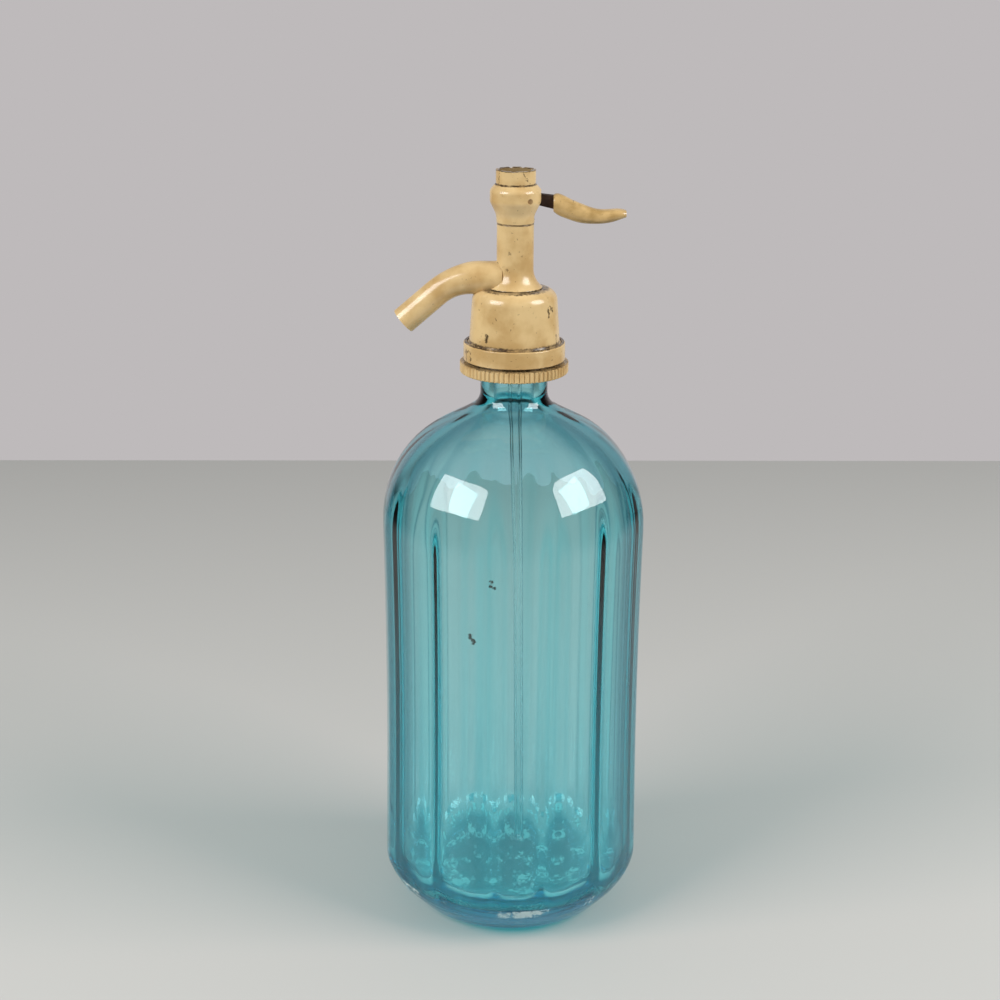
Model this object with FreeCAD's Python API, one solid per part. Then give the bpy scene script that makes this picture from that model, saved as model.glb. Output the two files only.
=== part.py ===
import FreeCAD, Part
import math
import os

# Soda siphon: a thick panelled glass bottle, and a moulded head with a bent spout and a lever valve.
# Millimetres. +Z is up, the origin is the middle of the flat base, the spout points to -X and the lever
# to +X. Every piece is a separate solid, and each function below makes one of them.

# Fits
FIT = 0.1            # between pieces that stay together
RUN_FIT = 0.05       # between a pin or rod and the hole it moves in
LEVER_GAP = 0.4      # each side of the lever in its slot

# Bottle, outside
BODY_R = 53.9        # at the creases between the panels
WAIST = 1.55         # corner of the side's shallow hollow, half way up
WAIST_ROUND = 3200.0
PANEL_COUNT = 12
PANEL_TURN = 3.7     # degrees from the spout side to the first panel's middle
PANEL_DEPTH = 0.9    # from the crease's circle to a panel's middle
PANEL_TOP_DEPTH = 0.4 # the same on the shoulder, measured straight down
PANEL_ROUND = 100.0  # radius of a panel's own curve, across
HEEL_FOOT_R = 38.0   # corner between the base and the heel's slope
HEEL_H = 17.5        # corner between the heel's slope and the side
HEEL_FOOT_ROUND = 15.7
HEEL_SIDE_ROUND = 23.9
BODY_H = 196.0       # corner that the shoulder's round takes off
SHOULDER_SLOPE = 27.7
SHOULDER_ROUND = 47.0
NECK_R = 13.3
NECK_FOOT_ROUND = 7.0
NECK_L = 19.5        # from the shoulder's slope to the bead
BEAD_R = 15.0
BEAD_RISE = 1.5      # height of the bead's sloping underside
BEAD_H = 6.2         # bead's underside to the mouth
MOUTH_ROUND = 1.2

# Bottle, inside
WALL = 5.6
FLOOR_T = 15.0
FLOOR_ROUND = 13.0
MOUTH_BORE_R = 8.0
SHOULDER_ROUND_IN = 40.0
NECK_ROUND_IN = 9.0

# Dip tube and what carries it
TUBE_R = 2.8
TUBE_BORE_R = 1.5
TUBE_LEAN = 1.0      # degrees out of plumb, towards the lever side
TUBE_ROOM = 0.25     # round the leaning tube in its holder
TUBE_TO_FLOOR = 9.5
TUBE_TOP = 4.0       # how far the tube stands above the mouth
HOLDER_R = 4.5
HOLDER_DOWN = 9.0    # below the mouth
HOLDER_LIP_R = 7.2
HOLDER_LIP_T = 2.4
TUBE_SEAL_T = 2.0

# Rings that pull the head down on the bottle
GRIP_H = 3.2         # plain part of the split collar, under the bead
SPLIT_WALL = 1.1
SPLIT_GAP = 0.6      # between the two halves
SPLIT_H = 6.9
SLEEVE_WALL = 0.95
SLEEVE_H = 5.9
RING_T = 4.3
RING_HOLE = 0.6      # round the glass neck
RING_LEDGE = 1.4     # how far the knurled ring stands out past the collar
KNURL_COUNT = 68
KNURL_DEPTH = 0.55
SKIRT_WALL = 1.1
COLLAR_WALL = 1.45
COLLAR_H = 7.0
COLLAR_GAP = 1.0     # dark gap over the knurled ring
COLLAR_BEVEL = 0.5

# Bell
BELL_H = 21.2        # from the collar's top to the seam under the stem
BELL_TOP_R = 16.45
BELL_FOOT_STEP = 0.7 # from the skirt in to the bell's foot
BELL_TOP_FALL = 0.8
BELL_ROUND = 4.8
BELL_WALL = 1.6
BELL_HOLE_FIT = 0.3

# Stem, lever housing and top collar
STEM_R = 7.2
STEM_H = 25.2
STEM_WALL = 1.25
FLARE_R = 11.2
FLARE_H = 3.4
FLARE_ROUND = 11.2
GROOVE = 0.3         # bevels that meet in the line under the bulb
HOUSING_H = 15.1
BULB_R = 9.95
BULB_LOW = 8.3       # height of the bulb's lower corner above the groove
BULB_HIGH = 12.8
WAIST_R = 7.55
WAIST_H = 3.4
HOUSING_BORE_R = 6.2
TOP_COLLAR_R = 7.7
TOP_COLLAR_BORE_R = 6.3
TOP_COLLAR_H = 5.4
CHIP_DEPTH = 0.45    # chips out of the broken rim

# Core with the valve seat
GASKET_T = 2.0
GASKET_BORE_R = 8.6
SPIGOT_FIT = 0.6     # round the core's spigot in the bottle's mouth
SPIGOT_L = 8.5
CORE_FLANGE_T = 3.4
TRUNK_R = 8.3
CORE_FIT = 0.2       # core in the stem
CHAMBER_R = 4.3
HOLDER_BORE_L = 8.0
SEAT_H = 13.0        # seat above the core's flange foot
CHAMBER_H = 11.6
LEDGE_T = 0.8
LEDGE_HOLE_R = 2.1
INSERT_HEAD_T = 1.0
INSERT_L = 4.2
SEAT_HOLE_R = 1.9
SEAT_LIP_R = 3.0
SEAT_LIP_H = 0.6
BUSH_FLANGE_T = 5.8
BUSH_SPIGOT_L = 0.8

# Valve
ROD_R = 1.5
WASHER_GAP = 0.1     # free air under the washer at rest
WASHER_R = 3.3
WASHER_T = 2.2
CUP_R = 3.9
CUP_TOP_T = 1.6
CUP_SKIRT = 1.1
SEAL_T = 2.0
FOLLOWER_T = 1.4
SPRING_SEAT_R = 3.3
SPRING_SEAT_T = 0.8
SPRING_SEAT_GAP = 0.8
SPRING_R = 2.55
SPRING_WIRE_R = 0.35
SPRING_TURNS = 4.5
STIRRUP_X = 4.6      # block at the rod's top, with the window for the lever's tongue
STIRRUP_Y = 6.4
STIRRUP_FOOT = 2.2   # below the window
STIRRUP_HEAD = 1.1   # above the window

# Lever
PIVOT_X = 5.5
PIVOT_H = 9.4        # above the groove
PIN_R = 1.0
PIN_SUNK = 0.5       # the pin's ends lie below the bulb's surface
HUB_R = 2.6
SHANK_T = 3.4
TONGUE_L = 7.0
TONGUE_T = 1.9
TONGUE_FREE = 0.65   # free play between the tongue and the window's top
TONGUE_UNDER = 0.95
SLOT_DOWN = 7.9      # slot in the bulb, from the pivot
SLOT_UP = 3.1
ARM_L = 9.0          # from the pivot to the grip's root
ARM_TOP = 2.3        # the arm's edges at the pivot and at the grip, from the pivot's height
ARM_FOOT = -2.4
ARM_END_TOP = 1.3
ARM_END_FOOT = -3.7
TANG_L = 16.0
TANG_DROP = 6.5
TANG_T = 2.0
GRIP_W = 8.2

# Grip's sections: distance from the pin, lowest and highest point from the pin's height, and the width's
# share of GRIP_W
GRIP_SECTIONS = (
    (8.8, -4.6, 1.4, 0.86),
    (11.6, -6.6, 1.8, 1.0),
    (14.5, -7.7, 0.5, 1.0),
    (17.5, -8.7, -0.9, 0.96),
    (21.3, -9.4, -2.4, 0.9),
    (25.5, -9.5, -3.7, 0.9),
    (30.0, -9.1, -3.9, 0.94),
    (34.2, -7.9, -3.7, 0.92),
    (37.0, -6.9, -4.3, 0.66),
)
NOTCH_X = 16.6       # small step in the grip's top, from the pin
NOTCH_W = 1.2
NOTCH_DEPTH = 0.5

# Spout
SPOUT_RISE = 3.8     # spout's axis above the seam
SPOUT_R = 5.35
SPOUT_ROOT_R = 6.5
SPOUT_ROOT_L = 14.0  # straight root, from the stem's axis
SPOUT_BEND_R = 25.5
SPOUT_BEND = 41.0
SPOUT_END_L = 16.9
SPOUT_LIP_T = 0.7    # the liner's flange that caps the casing's end
LINER_R = 3.3
LINER_BORE_R = 2.6
LINER_START = 9.5    # from the stem's axis

# Heights that follow
slope_tan = math.tan(math.radians(SHOULDER_SLOPE))
neck_foot_z = BODY_H + (BODY_R - NECK_R) * slope_tan
bead_z = neck_foot_z + NECK_L
mouth_z = bead_z + BEAD_H
ring_top_z = bead_z - GRIP_H
ring_foot_z = ring_top_z - RING_T
collar_foot_z = ring_top_z + COLLAR_GAP
collar_top_z = collar_foot_z + COLLAR_H
seam_z = collar_top_z + BELL_H
groove_z = seam_z + STEM_H
housing_top_z = groove_z + HOUSING_H
flange_z = mouth_z + GASKET_T
flange_top_z = flange_z + CORE_FLANGE_T
seat_z = flange_z + SEAT_H
chamber_top_z = seat_z + CHAMBER_H
ledge_top_z = chamber_top_z + LEDGE_T
follower_top_z = ledge_top_z + SEAL_T + FOLLOWER_T
spring_foot_z = follower_top_z + SPRING_SEAT_GAP + SPRING_SEAT_T
core_top_z = groove_z - BUSH_FLANGE_T
spring_top_z = core_top_z - BUSH_SPIGOT_L
pivot_z = groove_z + PIVOT_H
window_foot_z = pivot_z - TONGUE_T / 2 - TONGUE_UNDER
window_top_z = pivot_z + TONGUE_T / 2 + TONGUE_FREE
spout_z = seam_z + SPOUT_RISE
washer_z = seat_z + WASHER_GAP

# Radii that follow
split_r = BEAD_R + FIT + SPLIT_WALL
sleeve_in = split_r + FIT
sleeve_out = sleeve_in + SLEEVE_WALL
skirt_in = sleeve_out + FIT
skirt_out = skirt_in + SKIRT_WALL
collar_in = skirt_out + FIT
collar_out = collar_in + COLLAR_WALL
ring_out = collar_out + RING_LEDGE
bell_foot_r = skirt_out - BELL_FOOT_STEP
core_neck_r = STEM_R - STEM_WALL - CORE_FIT
slot_w = SHANK_T + 2 * LEVER_GAP


def vec(x, y, z):
    return FreeCAD.Vector(x, y, z)


def outline(corners):
    """Closed wire in the XZ plane through (x, z, round) corners, each round an arc that fits its sides."""
    places = [vec(x, 0, z) for x, z, _ in corners]
    count = len(places)
    halves = []
    wanted = []
    for i, (_, _, rounding) in enumerate(corners):
        half = (places[i - 1] - places[i]).getAngle(places[(i + 1) % count] - places[i]) / 2
        halves.append(half)
        wanted.append(rounding / math.tan(half) if rounding > 0 else 0)
    arcs = []
    for i, here in enumerate(places):
        before = places[i - 1] - here
        after = places[(i + 1) % count] - here
        side_before = 0.98 * before.Length
        side_after = 0.98 * after.Length
        room_before = max(side_before / 2, side_before - wanted[i - 1])
        room_after = max(side_after / 2, side_after - wanted[(i + 1) % count])
        reach = min(wanted[i], room_before, room_after)
        start = here + before.normalize() * reach
        stop = here + after.normalize() * reach
        radius = reach * math.tan(halves[i])
        inward = ((start + stop) * 0.5 - here).normalize() if reach > 0 else vec(0, 0, 0)
        arcs.append((start, here + inward * (radius / math.sin(halves[i]) - radius), stop))
    edges = []
    for i, (start, middle, stop) in enumerate(arcs):
        if wanted[i] > 0:
            edges.append(Part.Arc(start, middle, stop).toShape())
        following = arcs[(i + 1) % count][0]
        if stop.distanceToPoint(following) > 1e-6:
            edges.append(Part.LineSegment(stop, following).toShape())
    return Part.Wire(edges)


def turned(corners, axis_x=0.0):
    """Solid of revolution about the vertical line through axis_x."""
    face = Part.Face(outline(corners))
    return face.revolve(vec(axis_x, 0, 0), vec(0, 0, 1), 360)


def plate(corners, thickness):
    """Flat plate with an XZ outline, centred on the XZ plane."""
    face = Part.Face(outline(corners))
    face.translate(vec(0, -thickness / 2, 0))
    return face.extrude(vec(0, thickness, 0))


def ring(r_in, r_out, z, height):
    """Plain ring about the Z axis."""
    solid = Part.makeCylinder(r_out, height, vec(0, 0, z))
    return solid.cut(Part.makeCylinder(r_in, height, vec(0, 0, z)))


def box(x, y, z):
    """Box between the given (low, high) pairs."""
    return Part.makeBox(x[1] - x[0], y[1] - y[0], z[1] - z[0], vec(x[0], y[0], z[0]))


def glass_bottle():
    """Round bottle whose side and shoulder are drawn in to twelve gently curved panels."""
    side_z = (HEEL_H + BODY_H) / 2
    round_body = turned([
        (0, 0, 0),
        (HEEL_FOOT_R, 0, HEEL_FOOT_ROUND),
        (BODY_R, HEEL_H, HEEL_SIDE_ROUND),
        (BODY_R - WAIST, side_z, WAIST_ROUND),
        (BODY_R, BODY_H, SHOULDER_ROUND),
        (NECK_R, neck_foot_z, NECK_FOOT_ROUND),
        (NECK_R, bead_z, 0),
        (BEAD_R, bead_z + BEAD_RISE, 0.6),
        (BEAD_R, mouth_z, MOUTH_ROUND),
        (0, mouth_z, 0),
    ])
    middle_r = BODY_R - PANEL_DEPTH
    shift = PANEL_ROUND - middle_r
    cheek_r = NECK_R + 3.0
    corner_z = BODY_H + PANEL_DEPTH * slope_tan - PANEL_TOP_DEPTH
    panel = turned([
        (-shift, -1, 0),
        (middle_r, -1, 0),
        (middle_r - WAIST, side_z, WAIST_ROUND),
        (middle_r, corner_z, SHOULDER_ROUND),
        (cheek_r, corner_z + (middle_r - cheek_r) * slope_tan, 4.0),
        (cheek_r, mouth_z + 1, 0),
        (-shift, mouth_z + 1, 0),
    ], -shift)
    body = round_body
    for i in range(PANEL_COUNT):
        cutter = panel.copy()
        cutter.rotate(vec(0, 0, 0), vec(0, 0, 1), PANEL_TURN + i * 360.0 / PANEL_COUNT)
        body = body.common(cutter)
    inner_r = BODY_R - WALL
    lift = WALL * (slope_tan - 1 / math.cos(math.radians(SHOULDER_SLOPE)))
    throat_z = BODY_H + lift + (inner_r - MOUTH_BORE_R) * slope_tan
    hollow = turned([
        (0, FLOOR_T, 0),
        (inner_r, FLOOR_T, FLOOR_ROUND),
        (inner_r - WAIST, side_z, WAIST_ROUND),
        (inner_r, BODY_H + lift, SHOULDER_ROUND_IN),
        (MOUTH_BORE_R, throat_z, NECK_ROUND_IN),
        (MOUTH_BORE_R, mouth_z + 1, 0),
        (0, mouth_z + 1, 0),
    ])
    return body.cut(hollow)


def dip_tube():
    """Straight glass tube, a little out of plumb, held at the seal above its holder."""
    top = mouth_z + TUBE_TOP
    low = FLOOR_T + TUBE_TO_FLOOR
    tube = ring(TUBE_BORE_R, TUBE_R, low, top - low)
    tube.rotate(vec(0, 0, mouth_z + TUBE_SEAL_T / 2), vec(0, 1, 0), -TUBE_LEAN)
    return tube


def tube_holder():
    """Ferrule in the core's foot that the dip tube passes through."""
    low = mouth_z - HOLDER_DOWN
    body = turned([
        (TUBE_R + TUBE_ROOM, low, 0),
        (HOLDER_LIP_R, low, 0.4),
        (HOLDER_LIP_R, low + HOLDER_LIP_T, 0.4),
        (HOLDER_R, low + HOLDER_LIP_T, 0),
        (HOLDER_R, mouth_z, 0.3),
        (TUBE_R + TUBE_ROOM, mouth_z, 0),
    ])
    return body


def tube_gasket():
    """Rubber ring that seals the dip tube over its holder."""
    return ring(TUBE_R + RUN_FIT, HOLDER_R, mouth_z, TUBE_SEAL_T)


def neck_gasket():
    """Rubber ring on the bottle's mouth."""
    return ring(GASKET_BORE_R, BEAD_R - FIT, mouth_z, GASKET_T)


def split_collar(side):
    """Half of the metal collar under the bead, on the side of +Y or -Y."""
    whole = turned([
        (NECK_R + FIT, ring_top_z, 0),
        (split_r, ring_top_z, 0),
        (split_r, ring_top_z + SPLIT_H, 0.4),
        (BEAD_R + FIT, ring_top_z + SPLIT_H, 0),
        (BEAD_R + FIT, bead_z + BEAD_RISE, 0),
        (NECK_R + FIT, bead_z, 0),
    ])
    reach = split_r + 1
    across = sorted((side * SPLIT_GAP / 2, side * reach))
    return whole.common(box((-reach, reach), across, (ring_top_z - 1, mouth_z)))


def knurled_ring():
    """Nut with a coarse rounded knurl, and the sleeve that screws up inside the bell's skirt."""
    steps = []
    for i in range(KNURL_COUNT):
        turn = 2 * math.pi / KNURL_COUNT
        for share, r in ((0.0, ring_out - KNURL_DEPTH), (0.3, ring_out), (0.7, ring_out)):
            angle = (i + share) * turn
            steps.append(vec(r * math.cos(angle), r * math.sin(angle), ring_foot_z))
    rim = Part.Face(Part.makePolygon(steps + steps[:1])).extrude(vec(0, 0, RING_T))
    blank = turned([
        (NECK_R + RING_HOLE, ring_foot_z, 0),
        (ring_out + 0.1, ring_foot_z, 1.1),
        (ring_out + 0.1, ring_top_z, 0.5),
        (NECK_R + RING_HOLE, ring_top_z, 0),
    ])
    return blank.common(rim).fuse(ring(sleeve_in, sleeve_out, ring_top_z, SLEEVE_H))


def collar_ring():
    """Plain trim ring round the bell's skirt."""
    return turned([
        (collar_in, collar_foot_z, 0),
        (collar_out, collar_foot_z, 0.3),
        (collar_out, collar_top_z - COLLAR_BEVEL, 0.3),
        (collar_out - COLLAR_BEVEL, collar_top_z, 0.2),
        (collar_in, collar_top_z, 0),
    ])


def bell_corners(grow=0.0):
    """Outer outline of the bell, from the seam down to its skirt."""
    return [
        (FLARE_R + 0.4, seam_z, 0),
        (BELL_TOP_R + grow, seam_z - BELL_TOP_FALL, BELL_ROUND),
        (bell_foot_r + grow, collar_top_z + 0.6, 0),
    ]


def bell_cover():
    """Bell casing with the threaded skirt under it and a seat for the stem on top."""
    hole = TRUNK_R + BELL_HOLE_FIT
    in_r = BEAD_R + FIT + SPLIT_WALL + FIT
    return turned([(hole, seam_z, 0)] + bell_corners() + [
        (skirt_out, collar_top_z - 0.4, 0),
        (skirt_out, collar_foot_z + 0.3, 0),
        (skirt_in, collar_foot_z + 0.3, 0),
        (skirt_in, flange_z - 3.4, 0),
        (in_r, flange_z - 3.4, 0),
        (in_r, flange_top_z + 0.8, 0),
        (BELL_TOP_R - BELL_WALL, seam_z - BELL_TOP_FALL - BELL_WALL, BELL_ROUND - BELL_WALL),
        (hole, seam_z - BELL_WALL, 0),
    ])


def spout_hole():
    """Hole along the spout's axis for its liner."""
    return Part.makeCylinder(LINER_R + FIT, SPOUT_ROOT_L, vec(0, 0, spout_z), vec(-1, 0, 0))


def stem_corners():
    """Outer outline of the stem, from the groove down to the seam."""
    return [
        (STEM_R, groove_z, GROOVE),
        (STEM_R, seam_z + FLARE_H, FLARE_ROUND),
        (FLARE_R, seam_z, 0.3),
    ]


def stem_column():
    """Stem shell with its flared foot, bored for the core and for the spout's liner."""
    bore = STEM_R - STEM_WALL
    foot = TRUNK_R + BELL_HOLE_FIT
    shell = turned([(bore, groove_z, 0)] + stem_corners() + [
        (foot, seam_z, 0),
        (bore, seam_z + FLARE_H, 4.0),
    ])
    return shell.cut(spout_hole())


def lever_housing():
    """Bulb over the stem, hollow for the stirrup, slotted for the lever and drilled for its pin."""
    solid = turned([
        (HOUSING_BORE_R, groove_z, 0),
        (STEM_R + 0.1, groove_z, GROOVE),
        (WAIST_R, groove_z + WAIST_H, 6.0),
        (BULB_R, groove_z + BULB_LOW, 3.6),
        (BULB_R, groove_z + BULB_HIGH, 2.4),
        (TOP_COLLAR_R + 0.2, housing_top_z, 0.2),
        (HOUSING_BORE_R, housing_top_z, 0),
    ])
    slot = box((0, BULB_R + 1), (-slot_w / 2, slot_w / 2), (pivot_z - SLOT_DOWN, pivot_z + SLOT_UP))
    pin_hole = Part.makeCylinder(PIN_R, 2 * BULB_R, vec(PIVOT_X, -BULB_R, pivot_z), vec(0, 1, 0))
    return solid.cut(slot).cut(pin_hole)


def top_collar():
    """Short open tube on the bulb, with a few chips out of its rim."""
    tube = ring(TOP_COLLAR_BORE_R, TOP_COLLAR_R, housing_top_z, TOP_COLLAR_H)
    top = housing_top_z + TOP_COLLAR_H
    chips = ((20, 1.4, 1.0), (68, 2.2, 0.7), (105, 1.2, 1.0), (150, 2.6, 0.6), (205, 1.6, 0.9),
             (262, 2.0, 0.5), (318, 1.3, 0.8))
    for angle, width, share in chips:
        chip = Part.makeCylinder(width, TOP_COLLAR_R + 1, vec(0, 0, 0), vec(1, 0, 0))
        chip.translate(vec(0, 0, top + width - CHIP_DEPTH * share))
        chip.rotate(vec(0, 0, 0), vec(0, 0, 1), angle)
        tube = tube.cut(chip)
    return tube


def core_body():
    """Metal core: spigot in the mouth, flange, trunk with the chamber, and the boss for the spout."""
    spigot_r = MOUTH_BORE_R - SPIGOT_FIT
    spigot_z = flange_z - SPIGOT_L
    body = turned([
        (0, spigot_z, 0),
        (spigot_r, spigot_z, 0.3),
        (spigot_r, flange_z, 0),
        (split_r, flange_z, 0),
        (split_r, flange_top_z, 0.6),
        (TRUNK_R, flange_top_z, 1.5),
        (TRUNK_R, seam_z - 0.6, 0.5),
        (core_neck_r, seam_z + 1.6, 0.5),
        (core_neck_r, core_top_z, 0),
        (0, core_top_z, 0),
    ])
    boss = Part.makeCylinder(LINER_R, LINER_START, vec(0, 0, spout_z), vec(-1, 0, 0))
    holder_top = mouth_z + HOLDER_BORE_L
    cuts = [
        Part.makeCylinder(HOLDER_R + FIT, holder_top - spigot_z + 1, vec(0, 0, spigot_z - 1)),
        Part.makeCylinder(CHAMBER_R, chamber_top_z - holder_top + 1, vec(0, 0, holder_top - 1)),
        Part.makeCylinder(LEDGE_HOLE_R, LEDGE_T + 2, vec(0, 0, chamber_top_z - 1)),
        Part.makeCylinder(CHAMBER_R, core_top_z - ledge_top_z + 1, vec(0, 0, ledge_top_z)),
        Part.makeCylinder(LINER_BORE_R, LINER_START + 1, vec(0, 0, spout_z), vec(-1, 0, 0)),
    ]
    body = body.fuse(boss)
    for cut in cuts:
        body = body.cut(cut)
    return body


def valve_seat():
    """Screwed-in insert with the raised lip that the washer closes."""
    low = mouth_z + HOLDER_BORE_L
    return turned([
        (SEAT_HOLE_R, low - INSERT_HEAD_T, 0),
        (HOLDER_R, low - INSERT_HEAD_T, 0.2),
        (HOLDER_R, low, 0),
        (CHAMBER_R - FIT, low, 0),
        (CHAMBER_R - FIT, seat_z - SEAT_LIP_H, 0.2),
        (SEAT_LIP_R, seat_z - SEAT_LIP_H, 0),
        (SEAT_LIP_R, seat_z, 0.25),
        (SEAT_HOLE_R, seat_z, 0),
    ])


def valve_washer():
    """Rubber disc that lies just over the seat."""
    return ring(ROD_R - 0.4, WASHER_R, washer_z, WASHER_T)


def washer_retainer():
    """Cup on the rod's foot that holds the washer."""
    top = washer_z + WASHER_T
    return turned([
        (WASHER_R, top - CUP_SKIRT, 0),
        (CUP_R, top - CUP_SKIRT, 0.2),
        (CUP_R, top + CUP_TOP_T, 0.3),
        (ROD_R, top + CUP_TOP_T, 0),
        (ROD_R, top, 0),
        (WASHER_R, top, 0),
    ])


def valve_rod():
    """Rod with a spring seat and, at its top, the stirrup that the lever's tongue lifts."""
    top = washer_z + WASHER_T
    block_z = window_foot_z - STIRRUP_FOOT
    block_top = window_top_z + STIRRUP_HEAD
    rod = turned([
        (0, washer_z + 0.4, 0),
        (ROD_R - 0.4, washer_z + 0.4, 0),
        (ROD_R - 0.4, top, 0),
        (ROD_R, top, 0),
        (ROD_R, spring_foot_z - SPRING_SEAT_T, 0),
        (SPRING_SEAT_R, spring_foot_z - SPRING_SEAT_T, 0.2),
        (SPRING_SEAT_R, spring_foot_z, 0.2),
        (ROD_R, spring_foot_z, 0),
        (ROD_R, block_z + 0.5, 0),
        (0, block_z + 0.5, 0),
    ])
    block = box((-STIRRUP_X / 2, STIRRUP_X / 2), (-STIRRUP_Y / 2, STIRRUP_Y / 2), (block_z, block_top))
    corner = Part.makeCylinder(math.hypot(STIRRUP_X, STIRRUP_Y) / 2 - 0.3, block_top - block_z,
                               vec(0, 0, block_z))
    window = box((-STIRRUP_X, STIRRUP_X), (-slot_w / 2 + 0.1, slot_w / 2 - 0.1), (window_foot_z, window_top_z))
    return rod.fuse(block.common(corner)).cut(window)


def rod_seal():
    """Packing ring round the rod, on the core's ledge."""
    return ring(ROD_R + RUN_FIT, CHAMBER_R - FIT, ledge_top_z, SEAL_T)


def seal_follower():
    """Gland ring that keeps the packing down."""
    return ring(ROD_R + 2 * RUN_FIT, CHAMBER_R - FIT, ledge_top_z + SEAL_T, FOLLOWER_T)


def valve_spring():
    """Compression spring between the rod's seat and the guide bush."""
    low = spring_foot_z + SPRING_WIRE_R + RUN_FIT
    height = spring_top_z - SPRING_WIRE_R - RUN_FIT - low
    steps = 8
    points = []
    for i in range(int(steps * SPRING_TURNS) + 1):
        angle = 2 * math.pi * i / steps
        z = low + height * i / (steps * SPRING_TURNS)
        points.append(vec(SPRING_R * math.cos(angle), SPRING_R * math.sin(angle), z))
    line = Part.BSplineCurve()
    line.interpolate(points)
    end = Part.Wire(Part.Circle(points[0], line.tangent(0)[0], SPRING_WIRE_R).toShape())
    return Part.Wire(line.toShape()).makePipeShell([end], True, True)


def guide_bush():
    """Bush at the stem's top that guides the rod and holds the spring down."""
    return turned([
        (ROD_R + RUN_FIT, spring_top_z, 0),
        (CHAMBER_R - FIT, spring_top_z, 0.2),
        (CHAMBER_R - FIT, core_top_z, 0),
        (core_neck_r, core_top_z, 0),
        (core_neck_r, groove_z, 0.3),
        (ROD_R + RUN_FIT, groove_z, 0),
    ])


def lever_pin():
    """Cross pin through the bulb."""
    half = math.sqrt(BULB_R ** 2 - PIVOT_X ** 2) - PIN_SUNK
    return Part.makeCylinder(PIN_R, 2 * half, vec(PIVOT_X, -half, pivot_z), vec(0, 1, 0))


def tang_corners(spare=0.0):
    """Tang inside the grip, with spare added on each edge."""
    x = PIVOT_X + ARM_L
    foot = pivot_z - TANG_DROP
    return [
        (x - 0.6, pivot_z + ARM_END_TOP - 0.5 + spare, 0),
        (x + 7.0, foot + TANG_T + 0.9 + spare, 2.0),
        (x + TANG_L + spare, foot + TANG_T - 0.6 + spare, 0),
        (x + TANG_L + spare, foot - 0.6 - spare, 0),
        (x + 7.0, foot - spare, 2.0),
        (x - 0.6, pivot_z + ARM_END_FOOT + 0.5 - spare, 0),
    ]


def lever_shank():
    """Flat steel lever: tongue, hub, arm and the tang in the grip."""
    tip = PIVOT_X - TONGUE_L
    half = TONGUE_T / 2
    tongue = plate([
        (tip, pivot_z - half, 0.6),
        (PIVOT_X, pivot_z - half, 0),
        (PIVOT_X, pivot_z + half, 0),
        (tip, pivot_z + half, 0.6),
    ], SHANK_T)
    arm = plate([
        (PIVOT_X, pivot_z + ARM_TOP, 0),
        (PIVOT_X + ARM_L, pivot_z + ARM_END_TOP, 0),
        (PIVOT_X + ARM_L, pivot_z + ARM_END_FOOT, 0),
        (PIVOT_X + 0.4 * ARM_L, pivot_z + ARM_FOOT, 3.0),
        (PIVOT_X, pivot_z + ARM_FOOT, 0),
    ], SHANK_T)
    hub = Part.makeCylinder(HUB_R, SHANK_T, vec(PIVOT_X, -SHANK_T / 2, pivot_z), vec(0, 1, 0))
    bore = Part.makeCylinder(PIN_R + RUN_FIT, SHANK_T, vec(PIVOT_X, -SHANK_T / 2, pivot_z), vec(0, 1, 0))
    return arm.fuse([hub, tongue, plate(tang_corners(), SHANK_T)]).cut(bore)


def grip_section(x, low, high, width):
    """Closed smooth curve across the grip at one place."""
    middle = pivot_z + (low + high) / 2
    half = (high - low) / 2
    steps = 12
    points = []
    for i in range(steps):
        angle = 2 * math.pi * i / steps
        flat = math.copysign(abs(math.cos(angle)) ** 0.85, math.cos(angle))
        tall = math.copysign(abs(math.sin(angle)) ** 0.85, math.sin(angle))
        points.append(vec(PIVOT_X + x, width / 2 * flat, middle + half * tall))
    curve = Part.BSplineCurve()
    curve.interpolate(points, PeriodicFlag=True)
    return Part.Wire(curve.toShape())


def lever_grip():
    """Moulded grip lofted over its sections, with the small step in its top and room for the tang."""
    sections = [grip_section(x, low, high, share * GRIP_W) for x, low, high, share in GRIP_SECTIONS]
    body = Part.makeLoft(sections, True, False)
    notch_top = pivot_z - 0.2
    notch = plate([
        (PIVOT_X + NOTCH_X - NOTCH_W, notch_top + 2.5, 0),
        (PIVOT_X + NOTCH_X, pivot_z - 0.6 - NOTCH_DEPTH, 0),
        (PIVOT_X + NOTCH_X + NOTCH_W / 3, notch_top + 2.5, 0),
    ], 2 * GRIP_W)
    arm_end = box((PIVOT_X, PIVOT_X + ARM_L), (-GRIP_W, GRIP_W), (pivot_z - 20, pivot_z + 20))
    return body.cut(notch).cut(plate(tang_corners(RUN_FIT), SHANK_T + 2 * RUN_FIT)).cut(arm_end)


def spout_point(turn):
    """Place on the bend's centre line, turned by the given degrees from the root."""
    a = math.radians(turn)
    return vec(-SPOUT_ROOT_L - SPOUT_BEND_R * math.sin(a), 0, spout_z - SPOUT_BEND_R * (1 - math.cos(a)))


def spout_way(turn):
    """Direction of flow on the bend."""
    a = math.radians(turn)
    return vec(-math.cos(a), 0, -math.sin(a))


def spout_bar(radius, start_x, end_l):
    """Round bar along the spout's axis: straight root, bend and straight end."""
    root = Part.makeCylinder(radius, SPOUT_ROOT_L - start_x, vec(-start_x, 0, spout_z), vec(-1, 0, 0))
    disc = Part.Face(Part.Wire(Part.Circle(spout_point(0), spout_way(0), radius).toShape()))
    hub = vec(-SPOUT_ROOT_L, 0, spout_z - SPOUT_BEND_R)
    bend = disc.revolve(hub, vec(0, -1, 0), SPOUT_BEND)
    end = Part.makeCylinder(radius, end_l, spout_point(SPOUT_BEND), spout_way(SPOUT_BEND))
    return root.fuse([bend, end])


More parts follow.
